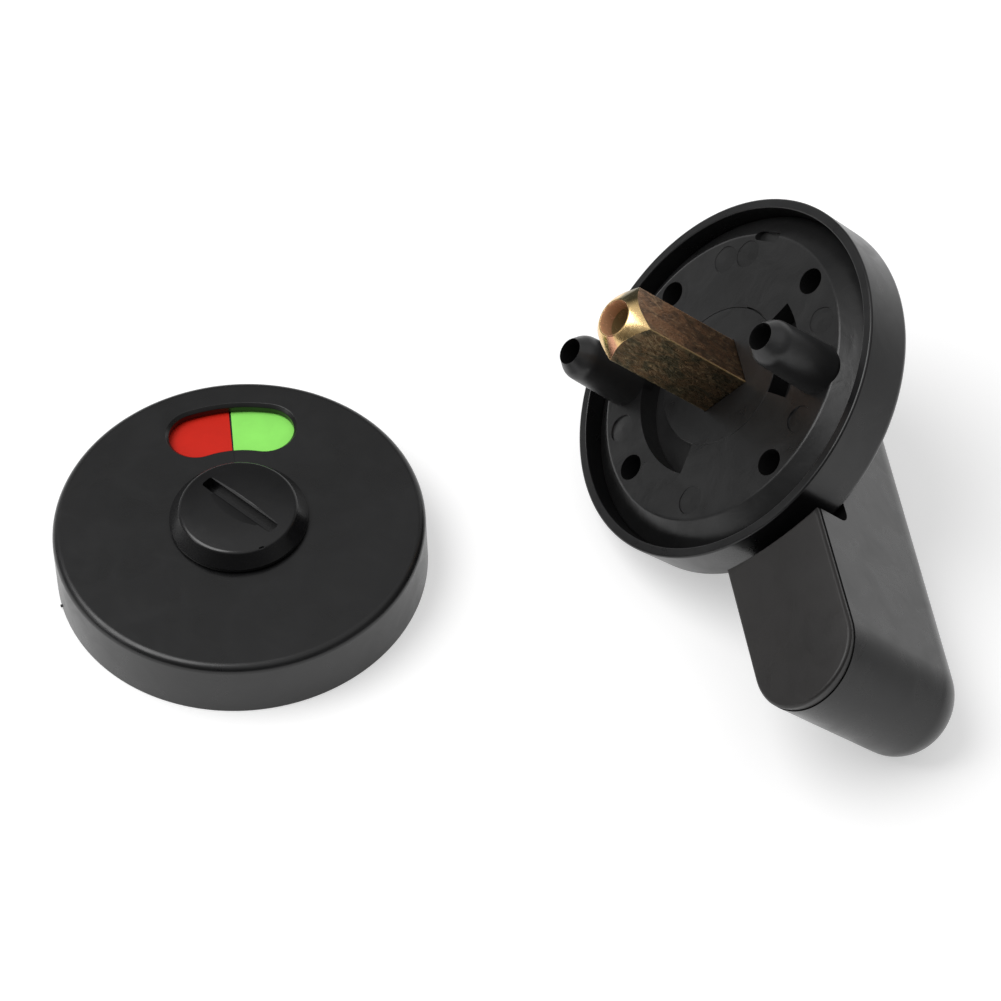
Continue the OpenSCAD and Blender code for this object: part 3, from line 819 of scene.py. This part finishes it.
def make_cap():
    """Pillow-shaped end cap with a plug that goes into the hollow nose."""
    middle = (NOSE_R + NOSE_X + NOSE_HW) / 2

    def crown(outline, drop):
        """Outline laid on the crowned face, lowered by drop."""
        centre_z = -CAP_CROWN_R - NOSE_BACK - drop
        return [(x, y, centre_z + math.sqrt(CAP_CROWN_R ** 2 - y * y)) for x, y in outline]

    seat_z = JOINT_Z + PUSH_GAP
    plug = nose_outline(NOSE_WALL + PUSH_GAP)
    seat = nose_outline(PUSH_GAP + 0.12)
    rings = [level(plug, JOINT_Z - CAP_PLUG), level(plug, seat_z), level(seat, seat_z)]
    for t in range(0, 91, 15):
        inset = PUSH_GAP + CAP_ROUND * (1 - math.cos(math.radians(t)))
        rings.append(crown(nose_outline(inset), CAP_ROUND * (1 - math.sin(math.radians(t)))))
    rim = nose_outline(PUSH_GAP + CAP_ROUND)
    for i in range(1, 12):
        k = 1 - i / 12
        rings.append(crown([(middle + (x - middle) * k, y * k) for x, y in rim], 0))
    place(solid("cap", loft(rings)), handle_half, "turn", cap_nylon, "cap_nylon", "nose_cap")


make_handle()
make_cap()


# Table, light and camera
TABLE_W = 6000
TABLE_T = 20
TABLE_GLOW = 0.47
WALL_LIGHT = 0.21
CEILING_LIGHT = 0.68
CAMERA_POS = (0.0381946, -0.2793366, 0.3516874)
TARGET = (0.04, 0.0, 0.0)


def make_floor():
    """White table, which shows white to the camera and in reflections and keeps its shadows."""
    floor = solid("table", prism(square(TABLE_W), -TABLE_T, 0))
    floor.data.transform(Matrix.Scale(MM, 4))
    n = material("table_white")
    cloud = n.noise(0.02, 2.0)
    white = n.mix(cloud, (0.71, 0.71, 0.71, 1), (0.73, 0.73, 0.73, 1))
    n.surface(Base_Color=white, Roughness=0.9, Specular_IOR_Level=0.1)
    path = n.add("ShaderNodeLightPath").outputs
    seen = n.calc("MAXIMUM", n.calc("MAXIMUM", path["Is Camera Ray"], path["Is Glossy Ray"]),
                  path["Is Transmission Ray"])
    glow = n.add("ShaderNodeEmission", Strength=n.calc("MULTIPLY", seen, TABLE_GLOW))
    both = n.tree.nodes.new("ShaderNodeAddShader")
    n.feed(both.inputs[0], n.find("BSDF_PRINCIPLED").outputs[0])
    n.feed(both.inputs[1], glow.outputs[0])
    n.feed(n.find("OUTPUT_MATERIAL").inputs["Surface"], both.outputs[0])
    floor.data.materials.append(n.owner)


def make_world():
    """Grey room, lighter overhead, with two white cards at the far side, and dark behind the camera."""
    world = bpy.data.worlds.new("studio")
    bpy.context.scene.world = world
    n = Nodes(world)
    way = n.add("ShaderNodeTexCoord").outputs["Generated"]
    height = n.add("ShaderNodeSeparateXYZ", Vector=way).outputs["Z"]

    def towards(direction):
        node = n.tree.nodes.new("ShaderNodeVectorMath")
        node.operation = "DOT_PRODUCT"
        n.feed(node.inputs[0], way)
        n.feed(node.inputs[1], Vector(direction).normalized())
        return node.outputs["Value"]

    walls = n.remap(height, 0.68, 0.86, WALL_LIGHT, CEILING_LIGHT)
    left_card = n.remap(towards((-0.6, 0.75, 0.28)), 0.91, 0.97, 0.0, 0.3)
    right_card = n.remap(towards((0.55, 0.83, 0.1)), 0.84, 0.97, 0.0, 0.7)
    gloom = n.remap(towards((0, -1, -0.9)), 0.15, 0.5, 1.0, 0.1)
    lit = n.calc("ADD", walls, n.calc("ADD", left_card, right_card))
    n.fill(n.find("BACKGROUND"), {"Color": (1, 1, 1, 1), "Strength": n.calc("MULTIPLY", lit, gloom)})


def make_light(name, pos, size, power):
    """Round soft lamp that faces the middle of the object."""
    lamp = bpy.data.lights.new(name, "AREA")
    lamp.shape = "DISK"
    lamp.size = size
    lamp.energy = power
    obj = bpy.data.objects.new(name, lamp)
    bpy.context.scene.collection.objects.link(obj)
    obj.location = pos
    obj.rotation_euler = (Vector(TARGET) - Vector(pos)).to_track_quat("-Z", "Y").to_euler()


def make_camera():
    """Camera of the photograph: width and focal length in pixels, pitch and roll in radians."""
    pixels, focal, pitch, roll, sensor = 1001, 3018.61, 0.8787, 0.0096, 36.0
    ahead = Vector((0, math.cos(pitch), -math.sin(pitch)))
    level_up = Vector((0, math.sin(pitch), math.cos(pitch)))
    side = Vector((1, 0, 0))
    right = math.cos(roll) * side + math.sin(roll) * level_up
    up = math.cos(roll) * level_up - math.sin(roll) * side
    data = bpy.data.cameras.new("camera")
    data.sensor_width = sensor
    data.lens = focal * sensor / pixels
    data.clip_start = 0.01
    camera = bpy.data.objects.new("camera", data)
    camera.matrix_world = (Matrix.Translation(CAMERA_POS)
                           @ Matrix((right, up, -ahead)).transposed().to_4x4())
    bpy.context.scene.collection.objects.link(camera)
    bpy.context.scene.camera = camera


make_floor()
make_world()
make_light("softbox_top", (-0.55, 0.0, 1.02), 0.9, 8.2)
make_light("window_left", (-0.78, -0.17, 0.47), 0.3, 0.35)
make_camera()
bpy.context.scene.view_settings.view_transform = "Standard"
